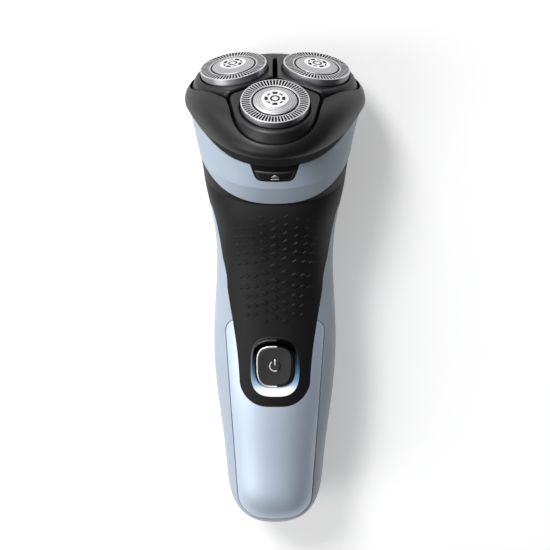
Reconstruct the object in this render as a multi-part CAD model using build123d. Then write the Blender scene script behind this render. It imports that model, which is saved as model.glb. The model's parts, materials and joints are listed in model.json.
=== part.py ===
from build123d import *
import math
import os

# Rotary electric shaver with three heads, lying on its back.
# +X is the right side, +Y runs up the handle to the head, +Z comes out of the front.
# All sizes are in millimetres and degrees. "u" is the distance from the handle's lower end.

# Overall sizes
LENGTH = 166.0
HEAD_TILT = 19.0
PARTING_TILT = 22.0
MID_Z = 20.0
WALL = 1.8
PART_LINE = 0.2

# Shaving head
GUARD_RADIUS = 11.0
POD_LAND = 2.0
POD_GAP = 1.3
POD_FLARE = 4.2
POD_TOP = 2.2
POD_FLOOR = 7.0
POD_SWING = 3.0
DISH = 9.4
HEAD_HEIGHT = 15.4
COLLAR_HEIGHT = 16.8
HEAD_LOBE = 1.2
BULGE_LOBE = 2.1
HEAD_GAP = 0.3
SHELL_GAP = 0.6
LOBE_GAP = 0.7
WINDOW_TAPER = 0.8
SHELL_TOP = 2.9
SHOULDER_DEPTH = 5.6
SHOULDER_INSET = 2.4
SHOULDER_LOBE = 0.6
BULGE_DEPTH = 9.3
LIP_DEPTH = 12.4
LIP_INSET = 0.15
SKIRT_DEPTH = 19.0
SKIRT_INSET = 1.5

# Line between head shell and collar, seen from the side: it rises from the front and falls to the back
RIM_FRONT = 16.7
RIM_KNEE = -23.0
RIM_RISE = 19.0
RIM_PEAK = -5.0
RIM_FALL = 9.1
RIM_BEND = 20.0

# Handle profile: share of the run to the collar, half width, depth to the front, depth to the back
END_ROUND = 15.0
END_POWER = 2.2
END_STEPS = (0.01, 0.06, 0.18, 0.42, 0.78)
END_SECTION = (13.7, 13.9, 15.8)
END_DROP = 8.0
HANDLE_SECTIONS = (
    (0.17, 16.8, 16.6, 18.9),
    (0.32, 18.8, 18.0, 20.4),
    (0.60, 20.6, 18.6, 20.0),
    (0.75, 19.6, 18.4, 17.9),
)
NECK_SHARE = 0.875
NECK_TILT = 11.0
NECK_SECTION = (20.9, 20.4, 18.2)
COLLAR_FOOT_INSET = (3.15, 2.75, 7.75)
COLLAR_CREASE_INSET = (2.15, -0.15, 5.35)
CREASE_DEPTH = 8.6
GRIP_STEP = 0.35
SECTION_POWER = 2.3
REST_LIFT = 0.88
# Line between collar and grip, seen from the side: share of the rim's radius, height over the collar's foot
FOOT_LINE = (
    (-1.26, -6.0),
    (-0.903, -0.6),
    (-0.42, 6.65),
    (-0.14, 8.0),
    (0.23, 6.6),
    (0.75, 1.7),
    (1.1, -1.6),
)

# Grip, front panel and power button, measured from the lower end
GRIP_END = 50.5
GRIP_HALF = 11.9
GRIP_CORNER = 9.0
GRIP_WAIST = 93.3
GRIP_WAIST_HALF = 16.3
SIDE_TIP = 117.5
REAR_GRIP_END = 66.0
PANEL_END = 6.3
PANEL_CORNER = 9.0
PANEL_HALF_LOW = 12.4
PANEL_HALF_HIGH = 16.9
PANEL_TOP = 80.5
BUTTON_U = 64.6
BUTTON_WIDTH = 12.8
BUTTON_LENGTH = 14.5
BUTTON_RING = 0.75
BUTTON_TRAVEL = 0.5
BUTTON_GAP = 0.3
LIGHT_SIDE = 1.8
LIGHT_HEAD = 3.35
LIGHT_FOOT = 3.15
RECESS_DEPTH = 1.7
RELEASE_TOP_WIDTH = 15.2
RELEASE_LOW_WIDTH = 11.6
RELEASE_HEIGHT = 5.65
RELEASE_DEPTH = 2.2
RELEASE_GAP = 0.25
RELEASE_RISE = 0.05
RELEASE_TRAVEL = 1.2

# Shaving unit
GUARD_SKIN = 0.5
GUARD_WALL = 0.7
GUARD_DEPTH = 4.6
GUARD_CROWN = 0.9
GUARD_FIT = 0.3
GUARD_FLOAT = 0.6
CUTTER_BLADES = 9
CUTTER_AIR = 0.35
YOKE_TOP = 5.8
YOKE_THICK = 1.0
PIVOT_DEPTH = 11.3
PIVOT_RADIUS = 0.8
RUN_FIT = 0.05
TIP_SIDE = 2.9
SOCKET_SIDE = 3.8
CARRIER_TOP = 13.8
CARRIER_THICK = 1.2
BOSS_RADIUS = 2.0
SCREW_RADIUS = 0.9
SCREW_HEAD = 1.7

# Drive
PINION_TEETH = 27
GEAR_TEETH = 29
GEAR_THICK = 3.0
BACKLASH = 0.12
COUPLING_DEPTH = 9.1
SPINDLE_RADIUS = 1.9
AXLE_RADIUS = 1.0
BASE_TOP = 19.6
BASE_THICK = 1.6
GEAR_PLATE_TOP = 27.4
GEAR_PLATE_THICK = 1.2
MOTOR_RADIUS = 9.5
MOTOR_LENGTH = 20.0
MOTOR_SHAFT = 1.0

# Power pack
CELL_RADIUS = 7.0
CELL_LENGTH = 50.0
CELL_U = 30.0
CELL_Z = 13.0
CELL_CLEAR = 3.6
SADDLE_WALL = 1.6
DECK_THICK = 1.6
BOARD_STAND = 3.4
BOARD_THICK = 1.2
SOCKET_DROP = 4.8
SOCKET_LENGTH = 9.4
SOCKET_WIDTH = 5.8
SOCKET_DEPTH = 9.8
SOCKET_WALL = 1.0
SOCKET_PIN = 0.75
SOCKET_PIN_LENGTH = 4.6
FRAME_FIT = 0.1

# Places that follow from the sizes above
tilt = math.radians(HEAD_TILT)
dish = math.radians(DISH)
PITCH = (GUARD_RADIUS + POD_LAND + POD_GAP / 2) / math.sin(math.pi / 3)
POD_RADIUS = GUARD_RADIUS + POD_FLARE
WIDEST = PITCH * math.cos(dish) + POD_RADIUS - 1.95
RIM = WIDEST - 1.45
COLLAR_FOOT = [RIM - inset for inset in COLLAR_FOOT_INSET]
COLLAR_CREASE = [RIM - inset for inset in COLLAR_CREASE_INSET]
RECESS_U = BUTTON_U + (LIGHT_HEAD - LIGHT_FOOT) / 2
RECESS_WIDTH = BUTTON_WIDTH + 2 * LIGHT_SIDE
RECESS_LENGTH = BUTTON_LENGTH + LIGHT_HEAD + LIGHT_FOOT
DECK_Z = CELL_Z + CELL_RADIUS + CELL_CLEAR
BOARD_Z = DECK_Z + DECK_THICK + BOARD_STAND
GEAR_RADIUS = PITCH - COUPLING_DEPTH * math.sin(dish)
guard_normal_y = math.cos(dish) * math.cos(tilt) + math.sin(dish) * math.sin(tilt) / 2
guard_rise = PITCH * math.sin(tilt) / 2 + GUARD_RADIUS * math.sqrt(1 - guard_normal_y**2)
LOW_Y = -LENGTH / 2
HEAD_Y = LENGTH / 2 - guard_rise
HEAD_Z = (WIDEST - BULGE_LOBE) * math.cos(tilt) + (BULGE_DEPTH + 0.5) * math.sin(tilt) + REST_LIFT
FOOT_DEPTH = HEAD_HEIGHT + COLLAR_HEIGHT
RUN = HEAD_Y - FOOT_DEPTH * math.cos(tilt) - LOW_Y
CROWN = PITCH + 3.75
SECTOR = math.pi / 3
POD_ANGLES = {"front": -90.0, "right": 30.0, "left": 150.0}
VALLEYS = (90.0, -30.0, 210.0)

head = Plane(origin=(0, HEAD_Y, HEAD_Z), x_dir=(1, 0, 0), z_dir=(0, math.cos(tilt), math.sin(tilt)))
side_view = Plane(origin=head.origin, x_dir=head.y_dir, z_dir=(1, 0, 0))


def across(y, z, lean):
    """A plane across the handle that leans towards the front; its own y points to the back."""
    a = math.radians(lean)
    return Plane(origin=(0, y, z), x_dir=(1, 0, 0), z_dir=(0, math.cos(a), math.sin(a)))


def parting(depth):
    """A plane parallel to the head's parting line, at a depth below the guards on the head's axis."""
    return across(HEAD_Y - depth * math.cos(tilt), HEAD_Z - depth * math.sin(tilt), PARTING_TILT)


def pod_place(name):
    """Location of a pod: x points outwards, z along the guard's axis, zero at the guard's rim."""
    return head.location * Rot(0, 0, POD_ANGLES[name]) * Pos(PITCH, 0, 0) * Rot(0, DISH, 0)


def spindle_place(name):
    return head.location * Rot(0, 0, POD_ANGLES[name]) * Pos(GEAR_RADIUS, 0, 0)


def closed_curve(points):
    return make_face(Spline(*points, periodic=True))


def oval(half_width, front, back, power=SECTION_POWER, count=24):
    """Rounded section whose front and back depths differ."""
    points = []
    for i in range(count):
        c = math.cos(2 * math.pi * i / count)
        s = math.sin(2 * math.pi * i / count)
        depth = back if s > 0 else front
        x = half_width * math.copysign(abs(c) ** (2 / power), c)
        y = depth * math.copysign(abs(s) ** (2 / power), s)
        points.append((x, y))
    return closed_curve(points)


def lobed(mean, swing, count=24):
    """Rounded triangle with a lobe over each pod."""
    points = []
    for i in range(count):
        angle = 2 * math.pi * i / count
        radius = mean + swing * math.cos(3 * (angle + math.pi / 2))
        points.append((radius * math.cos(angle), radius * math.sin(angle)))
    return closed_curve(points)


def blend(a, b, share):
    return tuple(p + (q - p) * share for p, q in zip(a, b))


def handle_body(inset):
    """The handle's outer form, or with an inset the form of the space inside it."""
    faces = []
    first = HANDLE_SECTIONS[0]
    for step in END_STEPS:
        u = step * END_ROUND
        dome = (1 - (1 - step) ** END_POWER) ** (1 / END_POWER)
        sizes = blend(END_SECTION, first[1:], u / (first[0] * RUN))
        scaled = [max(size * dome - inset * dome, 0.8) for size in sizes]
        end_z = MID_Z - END_DROP * (1 - dome)
        faces.append(across(LOW_Y + u + inset * (1 - u / END_ROUND), end_z, 0) * oval(*scaled))
    for share, *sizes in HANDLE_SECTIONS:
        faces.append(across(LOW_Y + share * RUN, MID_Z, 0) * oval(*[size - inset for size in sizes]))
    neck_z = MID_Z + 0.3
    neck = across(LOW_Y + NECK_SHARE * RUN, neck_z, NECK_TILT)
    faces.append(neck * oval(*[size - inset for size in NECK_SECTION]))
    foot = [size - GRIP_STEP - inset for size in COLLAR_FOOT]
    faces.append(parting(FOOT_DEPTH) * oval(*foot))
    return loft(faces)


def collar_body(inset):
    """The collar's outer form with its hidden ends, or with an inset the form of the space inside it."""
    foot = parting(FOOT_DEPTH) * oval(*[size - inset for size in COLLAR_FOOT])
    crease_sizes = [size - inset for size in COLLAR_CREASE]
    crease = parting(HEAD_HEIGHT + CREASE_DEPTH) * oval(*crease_sizes, power=2.15)
    rim = parting(HEAD_HEIGHT) * lobed(RIM - 0.25 - inset, HEAD_LOBE)
    top = head.offset(-BULGE_DEPTH - 0.9) * lobed(RIM + 0.95 - inset, BULGE_LOBE)
    return loft([foot, crease, rim, top], ruled=True)


def head_body(inset):
    """The head shell's outer form with a skirt below it, or with an inset the form of the space inside it."""
    skirt = head.offset(-SKIRT_DEPTH - inset) * lobed(RIM - SKIRT_INSET - inset, BULGE_LOBE - 0.35)
    lip = head.offset(-LIP_DEPTH) * lobed(WIDEST - LIP_INSET - inset, BULGE_LOBE + 0.1)
    bulge = head.offset(-BULGE_DEPTH) * lobed(WIDEST - inset, BULGE_LOBE)
    shoulder_size = WIDEST - SHOULDER_INSET - inset
    shoulder = head.offset(-SHOULDER_DEPTH - 0.8 * inset) * lobed(shoulder_size, SHOULDER_LOBE)
    crown = head.offset(-SHELL_TOP - inset) * lobed(CROWN - inset, 0)
    return loft([lip, bulge, shoulder, crown]) + loft([skirt, lip], ruled=True)


def below_rim(gap):
    """Everything under the line between head shell and collar, raised by a gap."""
    far = 2 * WIDEST
    rise = math.tan(math.radians(RIM_RISE))
    peak = -RIM_FRONT + rise * (RIM_PEAK - RIM_KNEE) + gap
    face = Polygon(
        (-far, -RIM_FRONT + gap),
        (RIM_KNEE, -RIM_FRONT + gap),
        (RIM_PEAK, peak),
        (far, peak - math.tan(math.radians(RIM_FALL)) * (far - RIM_PEAK)),
        (far, -LENGTH),
        (-far, -LENGTH),
        align=None,
    )
    face = fillet(face.vertices().filter_by(lambda v: abs(v.X) < RIM), RIM_BEND)
    return extrude(side_view * face, far, both=True)


def below_foot(gap):
    """Everything under the line between collar and grip, raised by a gap."""
    line = [(share * RIM, height - FOOT_DEPTH + gap) for share, height in FOOT_LINE]
    low = -LENGTH
    outline = [
        Spline(*line),
        Line(line[-1], (line[-1][0], low)),
        Line((line[-1][0], low), (line[0][0], low)),
        Line((line[0][0], low), line[0]),
    ]
    return extrude(side_view * make_face(outline), 2 * WIDEST, both=True)


def save(name, *solids):
    shape = solids[0] if len(solids) == 1 else Compound(children=[Part(s.wrapped) for s in solids])
    pieces = shape.solids()
    shape = pieces[0] if len(pieces) == 1 else Compound(children=list(pieces))
    export_step(shape, os.path.join("parts", name + ".step"))
    print(f"{name}: {len(pieces)} solid(s), {shape.volume:.1f} mm3")


def prism(face, low, high):
    """Stand a face drawn in X and Y up between two heights."""
    return extrude(Pos(0, 0, low) * face, amount=high - low, dir=(0, 0, 1))


def soft_square(width, length, power=3.2, count=24):
    points = []
    for i in range(count):
        c = math.cos(2 * math.pi * i / count)
        s = math.sin(2 * math.pi * i / count)
        x = width / 2 * math.copysign(abs(c) ** (2 / power), c)
        y = length / 2 * math.copysign(abs(s) ** (2 / power), s)
        points.append((x, y))
    return closed_curve(points)


def tube(outer, inner, low, high):
    ring = Circle(outer) - Circle(inner) if inner > 0 else Circle(outer)
    return prism(ring, low, high)


def box_between(x0, x1, y0, y1, z0, z1):
    return Pos((x0 + x1) / 2, (y0 + y1) / 2, (z0 + z1) / 2) * Box(x1 - x0, y1 - y0, z1 - z0)


os.makedirs("parts", exist_ok=True)

# Handle shells
handle_out = handle_body(0)
handle_in = handle_body(WALL)
handle_fit = handle_body(WALL + FRAME_FIT)
rest_cut = box_between(-40, 40, LOW_Y, HEAD_Y - FOOT_DEPTH, -20, 0)
skin = handle_out - handle_in - rest_cut


def grip_tongue(end, reach):
    """Front or rear half of the grip, seen straight on: a tongue that widens to the full neck."""
    foot = (GRIP_HALF - GRIP_CORNER, LOW_Y + end)
    shoulder = (GRIP_HALF, LOW_Y + end + GRIP_CORNER)
    tip = (GRIP_WAIST_HALF + 4.4, LOW_Y + SIDE_TIP)
    right = [
        Line((0, LOW_Y + end), foot),
        RadiusArc(foot, shoulder, -GRIP_CORNER),
        Spline(shoulder, (GRIP_WAIST_HALF, LOW_Y + GRIP_WAIST), tip, tangents=((0.03, 1), (0.3, 1))),
        Line(tip, (40, LOW_Y + SIDE_TIP + 8)),
        Line((40, LOW_Y + SIDE_TIP + 8), (40, HEAD_Y)),
        Line((40, HEAD_Y), (0, HEAD_Y)),
    ]
    half = make_face(right + [Line((0, HEAD_Y), (0, LOW_Y + end))])
    return prism(half, MID_Z, MID_Z + reach) + prism(mirror(half, Plane.YZ), MID_Z, MID_Z + reach)


# The blue side strips end in a point: a wedge cut square to the surface, seen from the strip's corner
OBLIQUE = 50.0
oblique = Plane(
    origin=(0, 0, MID_Z),
    x_dir=(0, 1, 0),
    z_dir=(math.sin(math.radians(OBLIQUE)), 0, math.cos(math.radians(OBLIQUE))),
)
wedge_line = Spline(
    (LOW_Y + GRIP_WAIST - 9, -2.2),
    (LOW_Y + GRIP_WAIST, -1.0),
    (LOW_Y + GRIP_WAIST + 10.1, -5.1),
    (LOW_Y + GRIP_WAIST + 19.2, -10.9),
    (LOW_Y + SIDE_TIP, -13.0),
)
wedge = make_face(
    [
        wedge_line,
        Line((LOW_Y + SIDE_TIP, -13.0), (LOW_Y + SIDE_TIP, -40)),
        Line((LOW_Y + SIDE_TIP, -40), (LOW_Y + GRIP_WAIST - 9, -40)),
        Line((LOW_Y + GRIP_WAIST - 9, -40), (LOW_Y + GRIP_WAIST - 9, -2.2)),
    ]
)
wedge_right = extrude(oblique * wedge, amount=30)
wedges = wedge_right + mirror(wedge_right, Plane.YZ)
front_zone = grip_tongue(GRIP_END, 40) - wedges
rear_zone = mirror(grip_tongue(REAR_GRIP_END, 40) - wedges, Plane.XY.offset(MID_Z))


def panel_face(inset):
    low = LOW_Y + PANEL_END + inset
    high = LOW_Y + PANEL_TOP - inset
    half_low = PANEL_HALF_LOW - inset
    half_high = PANEL_HALF_HIGH - inset
    face = Polygon((half_low, low), (half_high, high), (-half_high, high), (-half_low, low), align=None)
    corners = face.vertices().sort_by(Axis.Y)
    face = fillet(corners[:2], PANEL_CORNER - inset)
    return fillet(face.vertices().sort_by(Axis.Y)[-4:].filter_by(lambda v: v.Y > high - 0.01), 5.0 - inset)


FRONT_Z = MID_Z + HANDLE_SECTIONS[2][2]
button_at = Pos(0, LOW_Y + BUTTON_U, 0)
recess_at = Pos(0, LOW_Y + RECESS_U, 0)
SEAL_TOP = FRONT_Z - 4.2
SEAL_THICK = 0.4
recess_hole = prism(recess_at * soft_square(RECESS_WIDTH, RECESS_LENGTH), MID_Z, FRONT_Z + 5)
end_plane = across(LOW_Y, MID_Z - SOCKET_DROP, 0)
HOUSING_LENGTH = SOCKET_LENGTH + 2 * SOCKET_WALL
HOUSING_WIDTH = SOCKET_WIDTH + 2 * SOCKET_WALL
socket_form = SlotOverall(HOUSING_LENGTH, HOUSING_WIDTH)
socket_hole = extrude(end_plane * SlotOverall(HOUSING_LENGTH + FRAME_FIT, HOUSING_WIDTH + FRAME_FIT), 14)

panel_zone = prism(panel_face(0), MID_Z + 2, MID_Z + 40)
panel_form = prism(panel_face(PART_LINE), MID_Z + 2, MID_Z + 40)
body_shell = skin - front_zone - rear_zone - panel_zone - socket_hole
front_panel = (skin & panel_form) - front_zone
flaps = (collar_body(GRIP_STEP) - collar_body(WALL)) & below_foot(0)
grip = (skin & front_zone) + (skin & rear_zone) - recess_hole + flaps
save("body_shell", body_shell)
save("front_panel", front_panel)
save("grip", grip)

# Collar with the release button's window
collar_out = collar_body(0)
collar_fit = collar_body(WALL + FRAME_FIT)
rim_plane = parting(HEAD_HEIGHT)


def release_form(grow, high):
    """The release button seen from the front, drawn in X and along the head's axis, up to a height."""
    slope = (RELEASE_TOP_WIDTH - RELEASE_LOW_WIDTH) / 2 / RELEASE_HEIGHT
    top = RELEASE_TOP_WIDTH / 2 + slope * high + grow
    foot = -RELEASE_HEIGHT - grow
    low = RELEASE_LOW_WIDTH / 2 - slope * grow + grow
    face = Polygon((-top, high), (top, high), (low, foot), (-low, foot), align=None)
    return fillet(face.vertices().filter_by(lambda v: v.Y < foot + 0.01), 2.0 + grow)


facing = Plane(origin=rim_plane.origin, x_dir=(1, 0, 0), z_dir=-rim_plane.y_dir)
release_cut = extrude(facing * release_form(RELEASE_GAP, 2.0), 40, dir=facing.z_dir)
release_bar = extrude(facing * release_form(0, RELEASE_RISE), 40, dir=facing.z_dir)
release_room = release_cut - collar_body(RELEASE_DEPTH + RELEASE_TRAVEL + RELEASE_GAP)
collar = (collar_out - collar_body(WALL)) & below_rim(0)
collar = collar - below_foot(PART_LINE) - release_cut
release_button = release_bar & (collar_out - collar_body(RELEASE_DEPTH))
save("collar", collar)
save("release_button", release_button)

# Power button, its ring, the light ring round it and the seal under it
button_low = SEAL_TOP + BUTTON_TRAVEL + 0.3
inner_button = soft_square(BUTTON_WIDTH - 2 * BUTTON_RING, BUTTON_LENGTH - 2 * BUTTON_RING)
outer_button = soft_square(BUTTON_WIDTH, BUTTON_LENGTH)
hole_button = soft_square(BUTTON_WIDTH + 2 * BUTTON_GAP, BUTTON_LENGTH + 2 * BUTTON_GAP)
SWITCH_TOP = SEAL_TOP - 0.9
post = Pos(0, LOW_Y + BUTTON_U, 0) * tube(2.0, 0, SWITCH_TOP + BUTTON_TRAVEL + 0.1, button_low)
save("power_button", prism(button_at * inner_button, button_low, FRONT_Z - 0.35) + post)
save("button_ring", prism(button_at * (outer_button - inner_button), button_low, FRONT_Z - 0.2))
recess_mouth = recess_at * soft_square(RECESS_WIDTH - 0.6, RECESS_LENGTH - 0.6)
funnel = loft(
    [
        Pos(0, LOW_Y + BUTTON_U, FRONT_Z - RECESS_DEPTH) * hole_button,
        Pos(0, 0, FRONT_Z + 0.15) * recess_mouth,
    ],
    ruled=True,
)
funnel = funnel + prism(recess_mouth, FRONT_Z + 0.15, FRONT_Z + 5)
ring_form = prism(recess_at * soft_square(RECESS_WIDTH - 0.1, RECESS_LENGTH - 0.1), SEAL_TOP, FRONT_Z + 3)
button_shaft = prism(button_at * hole_button, SEAL_TOP - 1, FRONT_Z + 5)
save("light_ring", (ring_form & handle_out) - funnel - button_shaft)
seal = prism(recess_at * soft_square(RECESS_WIDTH + 1, RECESS_LENGTH + 1), SEAL_TOP - SEAL_THICK, SEAL_TOP)
save("button_seal", seal - Pos(0, LOW_Y + BUTTON_U, 0) * tube(2.4, 0, SEAL_TOP - 2, SEAL_TOP + 2))

# Inner frame, cell, board and charging socket
LOW_BULKHEAD = 14.0
HIGH_BULKHEAD = CELL_U + CELL_LENGTH + 13
deck_top = DECK_Z + DECK_THICK


def u_slab(low, high):
    return box_between(-40, 40, LOW_Y + low, LOW_Y + high, -10, 60)


cell_plane = across(LOW_Y + CELL_U, CELL_Z, 0)
cell = extrude(cell_plane * Circle(CELL_RADIUS), CELL_LENGTH)
frame_body = box_between(-11.5, 11.5, LOW_Y + LOW_BULKHEAD, LOW_Y + HIGH_BULKHEAD, DECK_Z, deck_top)
frame_body += handle_fit & u_slab(LOW_BULKHEAD, LOW_BULKHEAD + 2)
frame_body += handle_fit & u_slab(HIGH_BULKHEAD, HIGH_BULKHEAD + 2)
for u in (CELL_U + 8, CELL_U + CELL_LENGTH - 11):
    saddle_half = CELL_RADIUS + SADDLE_WALL
    saddle = box_between(-saddle_half, saddle_half, LOW_Y + u, LOW_Y + u + 3, CELL_Z - 2, DECK_Z)
    frame_body += saddle - cell
board_ends = (LOW_Y + CELL_U + 5, LOW_Y + HIGH_BULKHEAD - 1)
screw_points = [(x, y) for x in (-7.5, 7.5) for y in (board_ends[0] + 4, board_ends[1] - 4)]
screws = []
board = box_between(-9.5, 9.5, board_ends[0], board_ends[1], BOARD_Z, BOARD_Z + BOARD_THICK)
board_top = BOARD_Z + BOARD_THICK
for x, y in screw_points:
    shank = Pos(x, y, 0) * tube(SCREW_RADIUS, 0, deck_top + 0.5, board_top)
    screws.append(shank + Pos(x, y, 0) * tube(SCREW_HEAD, 0, board_top, board_top + 1.1))
    frame_body += Pos(x, y, 0) * tube(1.9, 0, deck_top, BOARD_Z)
    frame_body -= shank
    board -= shank
frame_body -= extrude(across(LOW_Y + HIGH_BULKHEAD - 1, MID_Z + 9, 0) * Circle(3), 5)
save("inner_frame", frame_body)
save("board_screws", *screws)
save("circuit_board", board)
nub = extrude(across(LOW_Y + CELL_U + CELL_LENGTH, CELL_Z, 0) * Circle(2.7), 0.8)
save("battery_cell", cell + nub)
tab_low = box_between(-4, 4, LOW_Y + CELL_U - 0.6, LOW_Y + CELL_U, CELL_Z - 4, DECK_Z)
cell_end = LOW_Y + CELL_U + CELL_LENGTH + 0.8
tab_high = box_between(-4, 4, cell_end, cell_end + 0.6, CELL_Z - 4, DECK_Z)
save("battery_tabs", tab_low, tab_high)
switch = box_between(-3, 3, LOW_Y + BUTTON_U - 3, LOW_Y + BUTTON_U + 3, board_top, SWITCH_TOP - 0.5)
save("push_switch", switch + Pos(0, LOW_Y + BUTTON_U, 0) * tube(1.6, 0, SWITCH_TOP - 0.5, SWITCH_TOP))
led_y = LOW_Y + RECESS_U - RECESS_LENGTH / 2 + 1
led = box_between(-1, 1, led_y, led_y + 1.4, board_top, board_top + 1.2)
save("indicator_leds", *[Pos(x, 0, 0) * led for x in (-4.5, 0, 4.5)])
SOCKET_MOUTH = 0.9
housing = extrude(end_plane.offset(SOCKET_MOUTH) * socket_form, LOW_BULKHEAD - SOCKET_MOUTH)
housing -= extrude(end_plane * SlotOverall(SOCKET_LENGTH, SOCKET_WIDTH), SOCKET_DEPTH)
pin_points = (-SOCKET_LENGTH / 4, SOCKET_LENGTH / 4)
pin_base = end_plane.offset(SOCKET_DEPTH - SOCKET_PIN_LENGTH)
pins = [extrude(pin_base * Pos(x, 0) * Circle(SOCKET_PIN), SOCKET_PIN_LENGTH + 2) for x in pin_points]
save("socket_housing", housing - pins[0] - pins[1])
save("socket_pins", *pins)

# Drive train on the head's axis
on_head = head.location
module = 2 * GEAR_RADIUS / (PINION_TEETH + GEAR_TEETH)


def gear_face(teeth):
    """Involute spur gear outline with a tooth centred on the x axis."""
    pitch_radius = module * teeth / 2
    base = pitch_radius * math.cos(math.radians(20))
    root = pitch_radius - 1.25 * module
    tip = pitch_radius + 0.95 * module
    involute = math.tan(math.radians(20)) - math.radians(20)
    half = math.pi / (2 * teeth) - BACKLASH / (2 * pitch_radius)
    flank = []
    for radius in (max(root, base), (max(root, base) + pitch_radius) / 2, pitch_radius, tip):
        roll = math.acos(base / max(radius, base))
        flank.append((radius, half + involute - (math.tan(roll) - roll)))
    if root < base:
        flank.insert(0, (root, flank[0][1]))
    points = []
    for i in range(teeth):
        middle = 2 * math.pi * i / teeth
        points += [(r * math.cos(middle - a), r * math.sin(middle - a)) for r, a in flank]
        points += [(r * math.cos(middle + a), r * math.sin(middle + a)) for r, a in reversed(flank)]
    return make_face(Polyline(*points, close=True))


GEAR_LOW = -GEAR_PLATE_TOP + 0.3
GEAR_HIGH = GEAR_LOW + GEAR_THICK
PLATE_LOW = -GEAR_PLATE_TOP - GEAR_PLATE_THICK
MOTOR_LOW = PLATE_LOW - MOTOR_LENGTH
AXLE_TOP = -BASE_TOP - BASE_THICK - 1.0
BUSH_RADIUS = 2.6
MOTOR_SKIN = 0.8


def slab(low, high):
    """A layer square to the head's axis."""
    return on_head * prism(Circle(60), low, high)


axle_places = [Rot(0, 0, a) * Pos(GEAR_RADIUS, 0, 0) for a in POD_ANGLES.values()]
axles = [on_head * place * tube(AXLE_RADIUS, 0, PLATE_LOW, AXLE_TOP) for place in axle_places]
gear_plate = collar_fit & slab(PLATE_LOW, -GEAR_PLATE_TOP)
gear_plate -= on_head * tube(BUSH_RADIUS, 0, PLATE_LOW - 1, -GEAR_PLATE_TOP + 1)
chamber_base = (collar_fit & slab(-BASE_TOP - BASE_THICK, -BASE_TOP)) - release_room
gasket = (collar_fit & slab(-BASE_TOP, -BASE_TOP + 0.6)) - release_room
gasket -= on_head * tube(21.5, 0, -BASE_TOP - 1, -BASE_TOP + 2)
SEAL_RADIUS = SPINDLE_RADIUS + 1.5
seals = []
for place, axle in zip(axle_places, axles):
    gear_plate -= axle
    hole = on_head * place * tube(SEAL_RADIUS, 0, -BASE_TOP - BASE_THICK - 1, -BASE_TOP + 1)
    chamber_base -= hole
    ring = tube(SEAL_RADIUS, SPINDLE_RADIUS + RUN_FIT, -BASE_TOP - BASE_THICK, -BASE_TOP)
    seals.append(on_head * place * ring)
save("gear_plate", gear_plate)
save("gear_axles", *axles)
save("chamber_base", chamber_base)
save("chamber_gasket", gasket)
save("shaft_seals", *seals)
bush = tube(BUSH_RADIUS, MOTOR_SHAFT + RUN_FIT, PLATE_LOW - MOTOR_SKIN, -GEAR_PLATE_TOP)
save("motor_bush", on_head * bush)
can = tube(MOTOR_RADIUS, MOTOR_RADIUS - MOTOR_SKIN, MOTOR_LOW, PLATE_LOW)
can += tube(MOTOR_RADIUS - MOTOR_SKIN / 2, BUSH_RADIUS, PLATE_LOW - MOTOR_SKIN, PLATE_LOW)
save("motor_can", on_head * can)
MAGNET_IN = MOTOR_RADIUS - MOTOR_SKIN - 1.9
magnet = tube(MOTOR_RADIUS - MOTOR_SKIN, MAGNET_IN, MOTOR_LOW + 3, PLATE_LOW - 3)
magnet_window = box_between(-MOTOR_RADIUS, MOTOR_RADIUS, 3.0, MOTOR_RADIUS, MOTOR_LOW, PLATE_LOW)
magnet = magnet & magnet_window
save("motor_magnets", on_head * magnet, on_head * mirror(magnet, Plane.XZ))
CAP_LOW = MOTOR_LOW - 1.4
cap = tube(MOTOR_RADIUS - 0.6, 0, CAP_LOW, MOTOR_LOW)
cap += tube(2.6, 0, MOTOR_LOW, MOTOR_LOW + 2.6)
cap -= tube(MOTOR_SHAFT + RUN_FIT, 0, MOTOR_LOW, MOTOR_LOW + 3)
save("motor_cap", on_head * cap)
save("motor_shaft", on_head * tube(MOTOR_SHAFT, 0, MOTOR_LOW + 0.3, GEAR_HIGH + 0.4))
core = tube(MAGNET_IN - 0.6, MOTOR_SHAFT, MOTOR_LOW + 4, PLATE_LOW - 4)
for angle in (0, 120, 240):
    core -= Rot(0, 0, angle) * box_between(MAGNET_IN - 2.6, MAGNET_IN + 1, -0.6, 0.6, MOTOR_LOW, PLATE_LOW)
save("motor_core", on_head * core)
pinion = prism(gear_face(PINION_TEETH), GEAR_LOW, GEAR_HIGH)
pinion -= tube(MOTOR_SHAFT, 0, GEAR_LOW - 1, GEAR_HIGH + 1)
save("motor_pinion", on_head * Rot(0, 0, POD_ANGLES["front"]) * pinion)

TIP_MIDDLE = -COUPLING_DEPTH * math.cos(dish)
TIP_LOW = TIP_MIDDLE - 1.0
TIP_HIGH = TIP_MIDDLE + 1.0
NECK_LOW = TIP_LOW - 2.0
drive = prism(gear_face(GEAR_TEETH), GEAR_LOW, GEAR_HIGH)
drive += tube(SPINDLE_RADIUS + 1.1, 0, GEAR_HIGH, -BASE_TOP - BASE_THICK - 0.3)
drive += tube(SPINDLE_RADIUS, 0, GEAR_HIGH, NECK_LOW)
drive += tube(1.3, 0, NECK_LOW, TIP_LOW)
drive += prism(RectangleRounded(TIP_SIDE, TIP_SIDE, 0.3), TIP_LOW, TIP_HIGH)
drive -= tube(AXLE_RADIUS + RUN_FIT, 0, GEAR_LOW - 1, AXLE_TOP + 0.3)
for name in POD_ANGLES:
    save("drive_" + name, spindle_place(name) * drive)

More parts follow.
